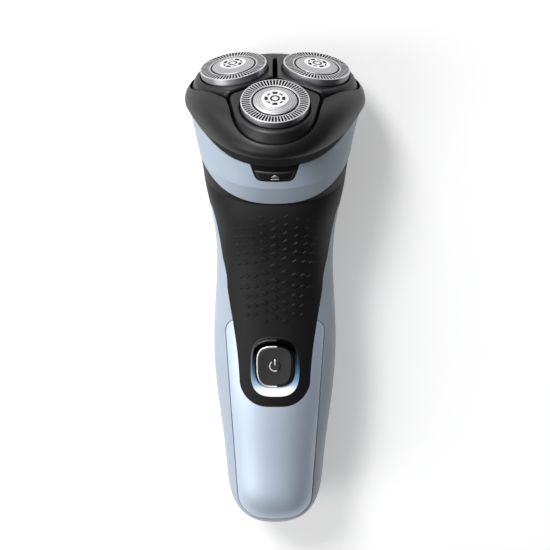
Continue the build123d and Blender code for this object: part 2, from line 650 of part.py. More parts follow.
# Pods, guards and cutters, each built once about the guard's axis
base_place = Pos(PITCH, 0, 0) * Rot(0, DISH, 0)
apex = POD_GAP / 2 / math.sin(SECTOR)
reach = 60.0
sector_face = Polygon(
    (apex, 0),
    (apex + reach * math.cos(SECTOR), reach * math.sin(SECTOR)),
    (apex + reach * 2, reach * math.sin(SECTOR)),
    (apex + reach * 2, -reach * math.sin(SECTOR)),
    (apex + reach * math.cos(SECTOR), -reach * math.sin(SECTOR)),
    align=None,
)
sector = base_place.inverse() * prism(sector_face, -30, 20)


def pod_face(radius, corner):
    """Pod outline about the guard's axis: a round lobe whose sides run on to two corners."""
    corner_x = corner * math.cos(SECTOR) - PITCH
    corner_y = corner * math.sin(SECTOR)
    far = math.hypot(corner_x, corner_y)
    touch = math.atan2(corner_y, corner_x) - math.acos(radius / far)
    touch_x = radius * math.cos(touch)
    touch_y = radius * math.sin(touch)
    inner_x = -PITCH - 6
    return make_face(
        [
            Line((corner_x, corner_y), (touch_x, touch_y)),
            ThreePointArc((touch_x, touch_y), (radius, 0), (touch_x, -touch_y)),
            Line((touch_x, -touch_y), (corner_x, -corner_y)),
            Line((corner_x, -corner_y), (inner_x, -corner_y)),
            Line((inner_x, -corner_y), (inner_x, corner_y)),
            Line((inner_x, corner_y), (corner_x, corner_y)),
        ]
    )


POD_CORNER = PITCH + 2.7
TAPER = 2.5
CORNER_TAPER = 1.6
top_face = Pos(0, 0, -POD_TOP) * pod_face(POD_RADIUS - TAPER, POD_CORNER - CORNER_TAPER)
floor_face = Pos(0, 0, -POD_FLOOR) * pod_face(POD_RADIUS, POD_CORNER)
GUARD_HOLE = GUARD_RADIUS + GUARD_FIT
TAB_REACH = GUARD_RADIUS + 1.1
TAB_HALF = 2.2
TAB_THICK = 0.8
pod = loft([floor_face, top_face], ruled=True) & sector
pod = chamfer(pod.faces().sort_by(Axis.Z)[-1].edges(), 0.4)
pod -= tube(GUARD_HOLE, 0, -20, 10)
pocket = tube(TAB_REACH + GUARD_FIT, 0, -20, -GUARD_DEPTH + TAB_THICK + GUARD_FIT)
tab_lane = box_between(-40, 40, -TAB_HALF - 0.4, TAB_HALF + 0.4, -30, 0)
pod -= pocket & tab_lane

LUG_IN = 7.2
LUG_OUT = 8.8
POST_IN = LUG_OUT + 0.3
POST_OUT = POST_IN + 1.6
yoke = tube(GUARD_HOLE - 0.02, 4.4, -YOKE_TOP - YOKE_THICK, -YOKE_TOP)
side_pins = []
posts = []
for side in (1, -1):
    lug_low, lug_high = sorted((side * LUG_IN, side * LUG_OUT))
    post_low, post_high = sorted((side * POST_IN, side * POST_OUT))
    pin_low, pin_high = sorted((side * LUG_IN, side * POST_OUT))
    lug = box_between(-2, 2, lug_low, lug_high, -PIVOT_DEPTH - 1.3, -YOKE_TOP)
    pin_line = Plane(origin=(0, pin_low, -PIVOT_DEPTH), x_dir=(1, 0, 0), z_dir=(0, 1, 0))
    pin = extrude(pin_line * Circle(PIVOT_RADIUS), pin_high - pin_low)
    bore = extrude(pin_line * Circle(PIVOT_RADIUS + RUN_FIT), pin_high - pin_low)
    yoke += lug - bore
    side_pins.append(pin)
    posts.append(box_between(-2.2, 2.2, post_low, post_high, -CARRIER_TOP - 0.8, -PIVOT_DEPTH + 1.6) - pin)

R = GUARD_RADIUS
GROOVE = 0.35
guard_line = Polyline(
    (0, GUARD_CROWN),
    (0.395 * R, GUARD_CROWN),
    (0.42 * R, GUARD_CROWN - 0.2),
    (0.63 * R, 0.05),
    (0.64 * R, -GROOVE),
    (0.685 * R, -GROOVE),
    (0.69 * R, 0),
    (R - 0.3, 0),
    (R, -0.3),
    (R, -GUARD_DEPTH),
    (R - GUARD_WALL, -GUARD_DEPTH),
    (R - GUARD_WALL, -GUARD_SKIN),
    (0.70 * R, -GUARD_SKIN),
    (0.68 * R, -GROOVE - GUARD_SKIN),
    (0.62 * R, -GROOVE - GUARD_SKIN),
    (0.40 * R, GUARD_CROWN - 0.8),
    (0, GUARD_CROWN - 0.8),
    close=True,
)
upright = Plane(origin=(0, 0, 0), x_dir=(1, 0, 0), z_dir=(0, -1, 0))
guard = revolve(upright * make_face(guard_line), Axis.Z)
tab_ring = tube(TAB_REACH, R - 0.2, -GUARD_DEPTH, -GUARD_DEPTH + TAB_THICK)
guard += tab_ring & box_between(-40, 40, -TAB_HALF, TAB_HALF, -30, 0)
BLADE_TOP = -GUARD_SKIN - CUTTER_AIR
BLADE_LOW = -GUARD_DEPTH + 1.7
cutter = tube(0.885 * R, 0.66 * R, BLADE_LOW - 0.7, BLADE_LOW)
blade = box_between(0.70 * R, 0.885 * R, -0.25, 0.25, BLADE_LOW, BLADE_TOP)
for i in range(CUTTER_BLADES):
    cutter += Rot(0, 0, 360 * i / CUTTER_BLADES) * blade
HUB_LOW = -COUPLING_DEPTH - 1.1
hub = tube(0.66 * R, 0, BLADE_LOW - 1.0, BLADE_LOW)
hub += tube(SOCKET_SIDE / 2 * 1.8, 0, HUB_LOW, BLADE_LOW)
socket_top = -COUPLING_DEPTH + 1.0 + GUARD_FLOAT + 0.5
hub -= prism(Rectangle(SOCKET_SIDE, SOCKET_SIDE), HUB_LOW - 1, socket_top)
for name in POD_ANGLES:
    place = pod_place(name)
    save("pod_" + name, place * pod)
    save("yoke_" + name, place * yoke)
    save("guard_" + name, place * guard)
    save("cutter_" + name, place * cutter)
    save("cutter_hub_" + name, place * hub)

# Head shell, the carrier inside it and their fasteners
shell = head_body(0)
boss_limit = head_body(WALL / 2)
head_shell = shell - head_body(WALL) - below_rim(HEAD_GAP)
BOSS_REACH = POD_CORNER + SHELL_GAP + BOSS_RADIUS + 0.4
head_screws = []
CARRIER_LOW = CARRIER_TOP + CARRIER_THICK
carrier = on_head * tube(BOSS_REACH + BOSS_RADIUS, 0, -CARRIER_LOW, -CARRIER_TOP)
for angle in VALLEYS:
    spot = on_head * Rot(0, 0, angle) * Pos(BOSS_REACH, 0, 0)
    head_shell += boss_limit & (spot * tube(BOSS_RADIUS, 0, -CARRIER_TOP, -SHELL_TOP))
    shank = spot * tube(SCREW_RADIUS, 0, -CARRIER_LOW, -CARRIER_TOP + 6)
    screw_head = spot * tube(SCREW_HEAD, 0, -CARRIER_LOW - 1.0, -CARRIER_LOW)
    head_shell -= shank
    carrier -= shank
    head_screws.append(shank + screw_head)
window_floor = POD_FLOOR + POD_RADIUS * math.sin(math.radians(POD_SWING)) + 0.2
window_face = pod_face(POD_RADIUS + LOBE_GAP, POD_CORNER + SHELL_GAP)
narrow_lobe = POD_RADIUS + LOBE_GAP - WINDOW_TAPER * TAPER
narrow_corner = POD_CORNER + SHELL_GAP - WINDOW_TAPER * CORNER_TAPER
narrow_face = pod_face(narrow_lobe, narrow_corner)
window = prism(window_face, -window_floor, -POD_FLOOR)
window += loft([Pos(0, 0, -POD_FLOOR) * window_face, Pos(0, 0, -POD_TOP) * narrow_face], ruled=True)
window += prism(narrow_face, -POD_TOP, 20)
sector_full = Polygon(
    (0, 0),
    (reach * math.cos(SECTOR), reach * math.sin(SECTOR)),
    (reach * 2, reach * math.sin(SECTOR)),
    (reach * 2, -reach * math.sin(SECTOR)),
    (reach * math.cos(SECTOR), -reach * math.sin(SECTOR)),
    align=None,
)
window &= base_place.inverse() * prism(sector_full, -30, 20)
pivot_pins = []
for name in POD_ANGLES:
    place = pod_place(name)
    head_shell -= place * window
    carrier -= spindle_place(name) * tube(6.4, 0, -30, 0)
    for pin, carrier_post in zip(side_pins, posts):
        carrier += place * carrier_post
        pivot_pins.append(place * pin)
save("head_shell", head_shell)
save("pod_carrier", carrier)
save("pivot_pins", *pivot_pins)
save("head_screws", *head_screws)
TONGUE_OUT = BOSS_REACH + BOSS_RADIUS - 0.4
tongue = box_between(-5, 5, -TONGUE_OUT, -TONGUE_OUT + 1.4, -18.6, -CARRIER_LOW)
tongue += box_between(-4, 4, -TONGUE_OUT - 0.6, -TONGUE_OUT, -18.6, -17.8)
save("latch_tongue", on_head * tongue)
print(f"pitch {PITCH:.3f}, gear radius {GEAR_RADIUS:.3f}, module {module:.4f}")
print(f"head y {HEAD_Y:.3f}, head z {HEAD_Z:.3f}, run {RUN:.3f}")
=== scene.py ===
# %% [markdown]
# # A rotary shaver around its CAD frame
# The construction comes from CAD: every piece is already the right size and in the right place, and moves on its
# own joint. This lesson adds what the eye reads on the real object: finishes, soft edges, slotted steel and light.
# Blender works in metres here, so sizes given in millimetres are multiplied by MM.

# %% Load the frame
import json
import math

import bpy
from mathutils import Matrix, Vector
from mathutils.bvhtree import BVHTree


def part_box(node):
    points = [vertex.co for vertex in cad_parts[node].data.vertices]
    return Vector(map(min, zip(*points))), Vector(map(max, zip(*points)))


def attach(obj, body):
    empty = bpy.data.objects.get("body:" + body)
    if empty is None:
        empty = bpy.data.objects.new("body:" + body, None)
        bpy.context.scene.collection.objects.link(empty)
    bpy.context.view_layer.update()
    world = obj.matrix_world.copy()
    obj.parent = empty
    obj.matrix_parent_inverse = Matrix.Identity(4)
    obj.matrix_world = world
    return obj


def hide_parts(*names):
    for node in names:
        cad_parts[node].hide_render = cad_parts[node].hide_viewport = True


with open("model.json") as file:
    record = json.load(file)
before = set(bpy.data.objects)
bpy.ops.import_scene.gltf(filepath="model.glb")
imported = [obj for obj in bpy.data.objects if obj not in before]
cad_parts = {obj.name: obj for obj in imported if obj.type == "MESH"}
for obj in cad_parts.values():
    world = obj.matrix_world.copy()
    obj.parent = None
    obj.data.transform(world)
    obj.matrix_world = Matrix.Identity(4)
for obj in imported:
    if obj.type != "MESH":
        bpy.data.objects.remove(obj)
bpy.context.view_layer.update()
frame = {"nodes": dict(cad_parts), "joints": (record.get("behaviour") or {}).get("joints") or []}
nodes = frame["nodes"]
joints = {joint["name"]: joint for joint in frame["joints"]}
scene = bpy.context.scene
MM = 0.001
HEADS = ("front", "right", "left")
print("CAD pieces:", len(nodes), "joints:", len(joints))

# %% [markdown]
# ## Camera
# The shaver lies on its back and is seen from above, from a little beyond the head. A long lens keeps the handle
# from tapering too much. The camera starts out looking straight down, so one turn about X sets the whole view.

# %% Camera
CAMERA_TILT = math.radians(16)
CAMERA_RANGE = 550 * MM
CAMERA_TARGET = Vector((0, 8.5, 21.0)) * MM
camera = bpy.data.objects.new("camera", bpy.data.cameras.new("camera"))
camera.data.lens = 106.2
camera.data.sensor_width = 36
camera.rotation_euler = (-CAMERA_TILT, 0, 0)
camera.location = CAMERA_TARGET + CAMERA_RANGE * Vector((0, math.sin(CAMERA_TILT), math.cos(CAMERA_TILT)))
scene.collection.objects.link(camera)
scene.camera = camera
scene.view_settings.view_transform = "Standard"
print("camera at", [round(c, 3) for c in camera.location])

# %% [markdown]
# ## Two helpers for finishes
# Colours are written as the sRGB hex values that a paint chart would give, and the shader wants linear light, so one
# function converts them. Node trees are a list of nodes with settings and links, and one function adds a node with
# both. Everything else is said where it is used.

# %% Helpers for finishes
def colour(code):
    """Linear RGBA from an sRGB hex code."""
    channels = [int(code[i:i + 2], 16) / 255 for i in (1, 3, 5)]
    return [c / 12.92 if c <= 0.04045 else ((c + 0.055) / 1.055) ** 2.4 for c in channels] + [1.0]


def add(tree, kind, inputs=None, **settings):
    """A node with its settings; an input is a value or the socket that feeds it."""
    node = tree.nodes.new(kind)
    for name, value in settings.items():
        setattr(node, name, value)
    for name, value in (inputs or {}).items():
        if isinstance(value, bpy.types.NodeSocket):
            tree.links.new(value, node.inputs[name])
        else:
            node.inputs[name].default_value = value
    return node


def start_finish(name, **surface):
    """A named material with its surface values set on the shader, its node tree and the object's coordinates."""
    material = bpy.data.materials.new(name)
    material.use_nodes = True
    tree = material.node_tree
    shader = tree.nodes["Principled BSDF"]
    for key, value in surface.items():
        shader.inputs[key.replace("_", " ")].default_value = value
    place = add(tree, "ShaderNodeTexCoord").outputs["Object"]
    return material, tree, shader, place


def per_metre(size_mm):
    """Pattern scale for a feature of that size."""
    return 1 / (size_mm * MM)


print("white reads as", [round(c, 3) for c in colour("#FFFFFF")])

# %% [markdown]
# ## Floor and light
# A product shot on white: a pale floor, and a soft key lamp beyond the head, to the left, that throws the shadow. The
# surround is brighter on the left than on the right and darker towards the near end. Reflections see a white wall
# on the left, which draws the bright streak along glossy faces, and a soft box beyond the head, which draws the upper
# edges of raised marks. The floor shows a little extra white to the camera and in reflections only, so that it doesn't
# light the object and keeps its shadow.

# %% Floor and light
FLOOR_HALF = 12.0
FLOOR_LIFT = 0.4
floor_mesh = bpy.data.meshes.new("floor")
corners = [(-1, -1), (1, -1), (1, 1), (-1, 1)]
floor_mesh.from_pydata([(x * FLOOR_HALF, y * FLOOR_HALF, -0.02 * MM) for x, y in corners], [], [(0, 1, 2, 3)])
floor = bpy.data.objects.new("floor", floor_mesh)
scene.collection.objects.link(floor)

paper = bpy.data.materials.new("studio_paper_matt_white")
paper.use_nodes = True
tree = paper.node_tree
tree.nodes.clear()
path = add(tree, "ShaderNodeLightPath")
seen = add(tree, "ShaderNodeMath", {0: path.outputs["Is Camera Ray"], 1: path.outputs["Is Glossy Ray"]},
           operation="MAXIMUM")
seen = add(tree, "ShaderNodeMath", {0: seen.outputs[0], 1: path.outputs["Is Transmission Ray"]}, operation="MAXIMUM")
lift = add(tree, "ShaderNodeMath", {0: seen.outputs[0], 1: FLOOR_LIFT}, operation="MULTIPLY")
matt = add(tree, "ShaderNodeBsdfDiffuse", {"Color": colour("#F2F2F2")})
glow = add(tree, "ShaderNodeEmission", {"Color": colour("#FFFFFF"), "Strength": lift.outputs[0]})
both = add(tree, "ShaderNodeAddShader", {0: matt.outputs[0], 1: glow.outputs[0]})
add(tree, "ShaderNodeOutputMaterial", {"Surface": both.outputs[0]})
floor_mesh.materials.append(paper)

LAMPS = {
    "lamp_key": ((-650, 1120, 1260), (480, 480), 18.5),
    "lamp_fill": ((-860, -250, 760), (600, 780), 4.4),
}
for name, (place, (width, length), watts) in LAMPS.items():
    lamp = bpy.data.lights.new(name, "AREA")
    lamp.shape = "RECTANGLE"
    lamp.size = width * MM
    lamp.size_y = length * MM
    lamp.energy = watts
    holder = bpy.data.objects.new(name, lamp)
    holder.location = Vector(place) * MM
    holder.rotation_euler = (CAMERA_TARGET - holder.location).to_track_quat("-Z", "Y").to_euler()
    scene.collection.objects.link(holder)


def fill_ramp(ramp, stops):
    """Set a colour ramp's stops from positions and hex codes."""
    while len(ramp.color_ramp.elements) < len(stops):
        ramp.color_ramp.elements.new(0.5)
    for element, (position, code) in zip(ramp.color_ramp.elements, stops):
        element.position = position
        element.color = colour(code)


# Stops run from the far left of the room (0) over the ceiling (0.5) to the far right (1). The near and far ends are
# strengths, with the range of the direction's Y over which they fade in.
ROOM = ((0.0, "#808080"), (0.2, "#ACACAC"), (0.45, "#8E8E8E"), (0.6, "#545454"), (0.85, "#2A2A2A"), (1.0, "#4A4A4A"))
WALL = ((0.0, "#C8C8C8"), (0.16, "#FFFFFF"), (0.42, "#FFFFFF"), (0.5, "#D8D8D8"), (0.62, "#848484"), (0.8, "#4C4C4C"),
        (1.0, "#585858"))
NEAR_END, NEAR_FROM, NEAR_TO = 0.12, -0.72, -0.42
FAR_END, FAR_FROM, FAR_TO = 2.6, 0.15, 0.5
world = bpy.data.worlds.new("studio")
scene.world = world
world.use_nodes = True
tree = world.node_tree
tree.nodes.clear()
direction = add(tree, "ShaderNodeSeparateXYZ", {0: add(tree, "ShaderNodeTexCoord").outputs["Generated"]})
side = add(tree, "ShaderNodeMapRange", {"Value": direction.outputs["X"], "From Min": -1.0, "From Max": 1.0})
room = add(tree, "ShaderNodeValToRGB", {"Fac": side.outputs[0]})
fill_ramp(room, ROOM)
wall = add(tree, "ShaderNodeValToRGB", {"Fac": side.outputs[0]})
fill_ramp(wall, WALL)
mirrored = add(tree, "ShaderNodeLightPath").outputs["Is Glossy Ray"]
studio = add(tree, "ShaderNodeMix", {"Factor": mirrored, "A": room.outputs["Color"], "B": wall.outputs["Color"]},
             data_type="RGBA")
depth = add(tree, "ShaderNodeMapRange", {"Value": direction.outputs["Y"], "From Min": NEAR_FROM, "From Max": NEAR_TO,
                                        "To Min": NEAR_END, "To Max": 1.0})
beyond = add(tree, "ShaderNodeMapRange", {"Value": direction.outputs["Y"], "From Min": FAR_FROM, "From Max": FAR_TO,
                                         "To Min": 0.0, "To Max": FAR_END - 1})
beyond = add(tree, "ShaderNodeMath", {0: beyond.outputs[0], 1: mirrored}, operation="MULTIPLY")
level = add(tree, "ShaderNodeMath", {0: depth.outputs[0], 1: beyond.outputs[0]}, operation="ADD")
surround = add(tree, "ShaderNodeBackground", {"Color": studio.outputs["Result"], "Strength": level.outputs[0]})
add(tree, "ShaderNodeOutputWorld", {"Surface": surround.outputs[0]})
print("lamps:", ", ".join(LAMPS))

# %% [markdown]
# ## Moulded plastics
# The handle is injection-moulded ABS. The mould's inner face is spark eroded, which leaves a very fine grain: it
# scatters the highlight and shows as satin. The front panel is the same ABS under a pearl lacquer, whose flakes act
# like a soft metal under a clear coat. The head's parts are black ABS with a slightly coarser grain, and the head
# shell's lower lip is left matt and darkened to near black as painted shade. The release button is a deeper black:
# painted shade under the head's lip.

# %% Moulded plastics
EDGE_ROUND = 0.3


def grain(tree, shader, place, size_mm, depth_mm, roughness, spread, edge_mm=EDGE_ROUND):
    """Fine moulded grain on softened edges: it tips the surface and makes the gloss uneven."""
    edge = add(tree, "ShaderNodeBevel", {"Radius": edge_mm * MM}, samples=4)
    noise = add(tree, "ShaderNodeTexNoise", {"Vector": place, "Scale": per_metre(size_mm), "Detail": 3.0})
    bump = add(tree, "ShaderNodeBump", {"Height": noise.outputs["Fac"], "Distance": depth_mm * MM, "Strength": 0.6,
                                        "Normal": edge.outputs[0]})
    tree.links.new(bump.outputs[0], shader.inputs["Normal"])
    gloss = add(tree, "ShaderNodeMapRange", {"Value": noise.outputs["Fac"], "To Min": roughness - spread,
                                            "To Max": roughness + spread})
    tree.links.new(gloss.outputs[0], shader.inputs["Roughness"])


def mottle(tree, shader, place, size_mm, dark, light):
    """Slow change of colour, as in a moulding whose pigment isn't perfectly even."""
    noise = add(tree, "ShaderNodeTexNoise", {"Vector": place, "Scale": per_metre(size_mm), "Detail": 2.0})
    mix = add(tree, "ShaderNodeMix", {"Factor": noise.outputs["Fac"], "A": colour(dark), "B": colour(light)},
              data_type="RGBA")
    tree.links.new(mix.outputs["Result"], shader.inputs["Base Color"])


blue_abs, tree, shader, place = start_finish("abs_moulded_satin_light_blue", IOR=1.53)
grain(tree, shader, place, 0.18, 0.008, 0.42, 0.06)
mottle(tree, shader, place, 25, "#B6C5D6", "#BDCBDC")

blue_pearl, tree, shader, place = start_finish("abs_pearl_lacquer_light_blue", IOR=1.5, Metallic=0.45,
                                               Coat_Weight=0.25, Coat_Roughness=0.36)
grain(tree, shader, place, 0.12, 0.003, 0.46, 0.05, edge_mm=0.08)
mottle(tree, shader, place, 18, "#CEDDF0", "#D4E2F3")

black_abs, tree, shader, place = start_finish("abs_moulded_satin_black", IOR=1.53, Specular_IOR_Level=0.4)
grain(tree, shader, place, 0.22, 0.012, 0.38, 0.07)
mottle(tree, shader, place, 12, "#0E0E0F", "#131314")

HEAD_AXIS = Vector(joints["head_pull"]["axis"]).normalized()
LIP_LEVEL = 12.6
LIP_BLEND = 0.3
LIP_ROUGHNESS, SATIN_ROUGHNESS = 0.8, 0.38
shell_abs, tree, shader, place = start_finish("abs_moulded_satin_black_matt_lip_painted_shade", IOR=1.53, Specular_IOR_Level=0.3)
grain(tree, shader, place, 0.22, 0.012, 0.38, 0.07)
mottle(tree, shader, place, 12, "#161617", "#1B1B1C")
lip_plane = Vector(joints["cutter_spin_front"]["pos_m"]).dot(HEAD_AXIS) - LIP_LEVEL * MM
level = add(tree, "ShaderNodeVectorMath", {0: place, 1: HEAD_AXIS}, operation="DOT_PRODUCT")
above_lip = add(tree, "ShaderNodeMapRange", {"Value": level.outputs["Value"], "From Max": lip_plane,
                                            "From Min": lip_plane - LIP_BLEND * MM})
satin = add(tree, "ShaderNodeMapRange", {"Value": above_lip.outputs[0], "To Min": LIP_ROUGHNESS,
                                        "To Max": SATIN_ROUGHNESS})
tree.links.new(satin.outputs[0], shader.inputs["Roughness"])
# Below the lip plane the colour is mixed down to near black: painted shade on the lip, besides its real matt roughness.
pigment = shader.inputs["Base Color"].links[0].from_socket
tone = add(tree, "ShaderNodeMix", {"Factor": above_lip.outputs[0], "A": colour("#050505"), "B": pigment},
           data_type="RGBA")
tree.links.new(tone.outputs["Result"], shader.inputs["Base Color"])

button_abs, tree, shader, place = start_finish("abs_moulded_fine_black", IOR=1.53)
grain(tree, shader, place, 0.14, 0.006, 0.5, 0.05)
mottle(tree, shader, place, 8, "#1F1F1F", "#262626")

# The release button's near-black colour is painted shade under the head's lip; its matt roughness is real.
matt_shade_black_abs, tree, shader, place = start_finish("abs_moulded_matt_black_painted_shade", IOR=1.53, Specular_IOR_Level=0.15)
grain(tree, shader, place, 0.2, 0.012, 0.65, 0.05)
mottle(tree, shader, place, 8, "#050505", "#090909")

rubber_grip, tree, shader, place = start_finish("tpe_overmoulded_soft_black", IOR=1.5, Specular_IOR_Level=0.2)
grain(tree, shader, place, 0.2, 0.01, 0.52, 0.06, edge_mm=0.08)
mottle(tree, shader, place, 10, "#151515", "#1A1A1A")
plastics = (blue_abs, blue_pearl, black_abs, shell_abs, button_abs, matt_shade_black_abs, rubber_grip)
print("plastics:", ", ".join(material.name for material in plastics))

# %% [markdown]
# ## Metals
# The guards are stainless steel, turned on a lathe: tool marks run round the axis and draw the highlight out into a
# fan. That is anisotropy with a tangent that goes round the guard's own axis. The centre disc is polished, the outer
# rim ground, and the side wall is tinted darker as painted shade. Near-black steel on the cutters and in the guards'
# hollows is painted shade. The button's ring and sign are a painted reflection: near-white chrome on the left, painted
# black on the right, and painted shade below the ring's rounded rim.

# %% Metals
GLOSS_RIPPLE = 0.05


def turned_steel(name, tint, roughness, anisotropy, ring_mm, groove_share):
    """Steel with tool marks round the object's Z axis, which ripple its gloss and darken its tone by a share."""
    material, tree, shader, place = start_finish(name, Metallic=1.0, Anisotropic=anisotropy)
    flat = add(tree, "ShaderNodeVectorMath", {0: place, 1: (1, 1, 0)}, operation="MULTIPLY")
    radius = add(tree, "ShaderNodeVectorMath", {0: flat.outputs[0]}, operation="LENGTH")
    wave = add(tree, "ShaderNodeMath", {0: radius.outputs["Value"], 1: 2 * math.pi * per_metre(ring_mm)},
               operation="MULTIPLY")
    ripple = add(tree, "ShaderNodeMath", {0: wave.outputs[0]}, operation="SINE")
    gloss = add(tree, "ShaderNodeMapRange", {"Value": ripple.outputs[0], "From Min": -1.0,
                                            "To Min": roughness - GLOSS_RIPPLE, "To Max": roughness + GLOSS_RIPPLE})
    tree.links.new(gloss.outputs[0], shader.inputs["Roughness"])
    groove = add(tree, "ShaderNodeMapRange", {"Value": ripple.outputs[0], "From Min": -1.0, "To Max": groove_share})
    tone = add(tree, "ShaderNodeMix", {"Factor": groove.outputs[0], "A": colour(tint), "B": colour("#3A3A3C")},
               data_type="RGBA")
    tree.links.new(tone.outputs["Result"], shader.inputs["Base Color"])
    tangent = add(tree, "ShaderNodeTangent", direction_type="RADIAL", axis="Z")
    tree.links.new(tangent.outputs[0], shader.inputs["Tangent"])
    return material


steel_ground = turned_steel("stainless_steel_ground", "#D4D4D6", 0.28, 0.5, 0.25, 0.15)
steel_spun = turned_steel("stainless_steel_turned", "#C8C8CA", 0.3, 0.65, 0.62, 0.5)
steel_polished = turned_steel("stainless_steel_polished", "#F0F0F1", 0.3, 0.1, 0.5, 0.1)
# The guard's side wall gets a darker tint: painted shade.
steel_wall_shade = turned_steel("stainless_steel_wall_painted_shade", "#8A8A8F", 0.34, 0.3, 0.25, 0.1)

# The ring's colour is a painted reflection: near-white on the left, painted black right of a split just off the middle,
# and painted shade below the rounded rim.
PAINTED_SPLIT_X = 0.6
PAINTED_SPLIT_BLEND = 0.15
RIM_FOOT, RIM_TOP = 0.55, 0.35
chrome, tree, shader, place = start_finish("chrome_plated_abs_painted_reflection", Metallic=0.7)
grain(tree, shader, place, 0.3, 0.001, 0.3, 0.03, edge_mm=0.1)
across = add(tree, "ShaderNodeSeparateXYZ", {0: place})
painted_dark_side = add(tree, "ShaderNodeMapRange", {"Value": across.outputs["X"], "From Min": (PAINTED_SPLIT_X - PAINTED_SPLIT_BLEND) * MM,
                                       "From Max": (PAINTED_SPLIT_X + PAINTED_SPLIT_BLEND) * MM})
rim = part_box("button_ring")[1].z
foot = add(tree, "ShaderNodeMapRange", {"Value": across.outputs["Z"], "From Min": rim - RIM_FOOT * MM,
                                       "From Max": rim - RIM_TOP * MM, "To Min": 1.0, "To Max": 0.0})
painted_dark = add(tree, "ShaderNodeMath", {0: painted_dark_side.outputs[0], 1: foot.outputs[0]}, operation="MAXIMUM")
painted_reflection_and_shade = add(tree, "ShaderNodeMix", {"Factor": painted_dark.outputs[0], "A": colour("#F8F8F8"), "B": colour("#060606")},
             data_type="RGBA")
tree.links.new(painted_reflection_and_shade.outputs["Result"], shader.inputs["Base Color"])

steel_plain, tree, shader, place = start_finish("steel_machined_bright", Metallic=1.0)
grain(tree, shader, place, 0.1, 0.004, 0.3, 0.06)
mottle(tree, shader, place, 4, "#A9AAAD", "#B8B9BB")

nickel, tree, shader, place = start_finish("nickel_plated_brass", Metallic=1.0)
grain(tree, shader, place, 0.1, 0.002, 0.2, 0.04)
mottle(tree, shader, place, 3, "#BDB8AC", "#CAC5B9")

bronze, tree, shader, place = start_finish("bronze_sintered", Metallic=1.0)
grain(tree, shader, place, 0.08, 0.01, 0.45, 0.08)
mottle(tree, shader, place, 2, "#A47B50", "#B58A5C")

# Near-black steel is painted shade: it stands for the dark on the cutters, the slit walls, the groove and the floors of
# the marks.
steel_painted_shade, tree, shader, place = start_finish("steel_painted_shade_black", Metallic=0.3)
grain(tree, shader, place, 0.1, 0.004, 0.5, 0.06, edge_mm=0.02)
mottle(tree, shader, place, 4, "#080808", "#0E0E0E")

ferrite, tree, shader, place = start_finish("ferrite_sintered_grey", IOR=2.0)
grain(tree, shader, place, 0.06, 0.008, 0.6, 0.08)
mottle(tree, shader, place, 2, "#3A3A3C", "#464648")

silver_print, tree, shader, place = start_finish("silver_ink_pad_printed", Metallic=0.6)
grain(tree, shader, place, 0.05, 0.002, 0.4, 0.05)
mottle(tree, shader, place, 1, "#C4C4C4", "#D0D0D0")
print("metals:", len([m for m in bpy.data.materials if "steel" in m.name]), "steels, chrome, nickel, bronze")

# %% [markdown]
# ## Inner pieces
# These show when the head is pulled off, or through a gap. Acetal is the slippery white plastic of small gears,
# silicone seals the shafts, and the board and the cell have their usual colours.

# %% Inner pieces
INNER = {
    "acetal_moulded_white": ("#D9D9D4", "#E2E2DE", 0.15, 0.4, 1.48),
    "acetal_moulded_grey": ("#2E2F31", "#38393B", 0.15, 0.45, 1.48),
    "silicone_moulded_grey": ("#55585B", "#5E6164", 0.2, 0.6, 1.41),
    "epoxy_glass_board_green": ("#1E5A38", "#256642", 0.3, 0.35, 1.55),
    "pvc_shrink_film_blue": ("#3C62A0", "#466DAD", 0.4, 0.3, 1.53),
    "polycarbonate_lens_clear": ("#D8E6F4", "#E4EEF8", 0.2, 0.2, 1.58),
}
inner = {}
for name, (dark, light, size_mm, roughness, index) in INNER.items():
    inner[name], tree, shader, place = start_finish(name, IOR=index)
    grain(tree, shader, place, size_mm, 0.006, roughness, 0.05)
    mottle(tree, shader, place, 5, dark, light)
print("inner finishes:", len(inner))

# %% [markdown]
# ## The lit ring
# Round the power button lies a clear light guide with lamps under its foot. The foot glows white, its arms turn blue
# as they leave the lamps, and the top stays black. Next to the button the guide is painted black, so the glow follows
# the object's own Y axis along the guide and its Z axis across it.

# %% The lit ring
ring_low, ring_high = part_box("light_ring")
light_guide, tree, shader, place = start_finish("polycarbonate_light_guide_lit", IOR=1.58, Emission_Strength=1.0)
along = add(tree, "ShaderNodeSeparateXYZ", {0: place})
share = add(tree, "ShaderNodeMapRange", {"Value": along.outputs["Y"], "From Min": ring_low.y, "From Max": ring_high.y})
ramp = add(tree, "ShaderNodeValToRGB", {"Fac": share.outputs[0]})
STOPS = ((0.0, "#FFFFFF"), (0.12, "#EEF6FC"), (0.18, "#A9C6E0"), (0.27, "#7397B8"), (0.4, "#456684"),
         (0.55, "#1E3145"), (0.72, "#000000"))
PAINT_LOW, PAINT_HIGH = 2.05, 1.55
fill_ramp(ramp, STOPS)
clear = add(tree, "ShaderNodeMapRange", {"Value": along.outputs["Z"], "From Min": ring_high.z - PAINT_LOW * MM,
                                        "From Max": ring_high.z - PAINT_HIGH * MM})
glow = add(tree, "ShaderNodeMix", {"Factor": clear.outputs[0], "A": colour("#000000"), "B": ramp.outputs["Color"]},
           data_type="RGBA")
tree.links.new(glow.outputs["Result"], shader.inputs["Emission Color"])
grain(tree, shader, place, 0.3, 0.002, 0.2, 0.05)
mottle(tree, shader, place, 4, "#060606", "#0A0A0A")
print("light guide from", round(ring_low.y / MM, 1), "to", round(ring_high.y / MM, 1), "mm")

# %% [markdown]
# ## Finishes on the CAD pieces
# A piece whose CAD shape is right keeps it and only gets its finish. Each finish holds a narrow bevel that rounds the
# edges as a mould or a polishing wheel would; without it, edges catch no light and look drawn.

